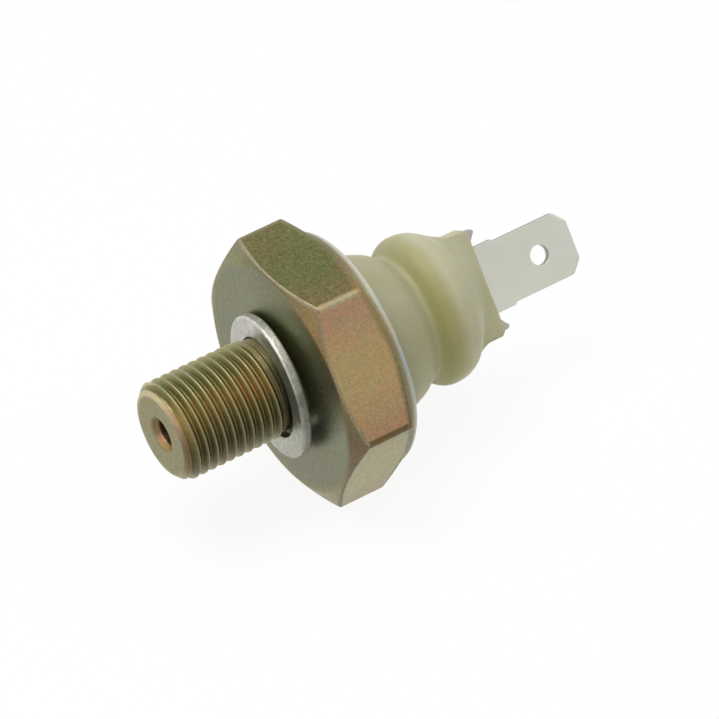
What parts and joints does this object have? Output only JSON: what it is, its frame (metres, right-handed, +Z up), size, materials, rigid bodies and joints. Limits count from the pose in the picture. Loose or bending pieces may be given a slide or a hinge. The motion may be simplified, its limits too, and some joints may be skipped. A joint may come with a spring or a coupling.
{
  "type": "oil pressure sender",
  "caption": "Screw-in oil pressure switch with a hexagon body, threaded stem, leaning sealing washer, rolled rim, moulded insulator and a blade terminal.",
  "frame": {"origin": "centre of the sealing seat, on the axis of the stem in the plane of the hexagon's front face", "axes": "+X along the axis from the stem to the blade's tip, +Z up, normal to the hexagon's upper flat, so that the part lies on its lower flat"},
  "size_m": [0.0464, 0.0276, 0.024],
  "materials": {
    "passivated_steel": "zinc plated steel with yellow iridescent passivation, satin",
    "washer_aluminium": "soft aluminium, bright and lightly marked",
    "seal_rubber": "smooth black rubber",
    "diaphragm_film": "amber polyimide film",
    "plated_steel": "plain plated steel",
    "plunger_plastic": "dark brown moulding",
    "brass": "plain brass sheet",
    "silver_contact": "silver contact metal",
    "insulator_plastic": "natural cream nylon, slightly translucent",
    "tinned_brass": "tin plated brass, satin",
    "spring_steel": "drawn spring steel"
  },
  "bodies": {
    "switch_body": {"housing": "passivated_steel", "sealing_washer": "washer_aluminium", "seal_ring": "seal_rubber", "diaphragm_inner": "diaphragm_film", "diaphragm_outer": "diaphragm_film", "contact_ring": "plated_steel", "insulator": "insulator_plastic", "terminal": "tinned_brass", "spring": "spring_steel", "spring_cup": "brass", "calibration_shim": "spring_steel"},
    "contact_carrier": {"plunger": "plunger_plastic", "contact_disc": "brass", "contact_button_1": "silver_contact", "contact_button_2": "silver_contact", "contact_button_3": "silver_contact"}
  },
  "joints": [
    {"name": "contact_travel", "type": "slide", "parent": "switch_body", "child": "contact_carrier", "axis": [1, 0, 0], "range_m": [0, 0.0004], "stiffness_N_per_m": 520, "springref_m": -0.0047, "deforming": ["spring"]}
  ]
}
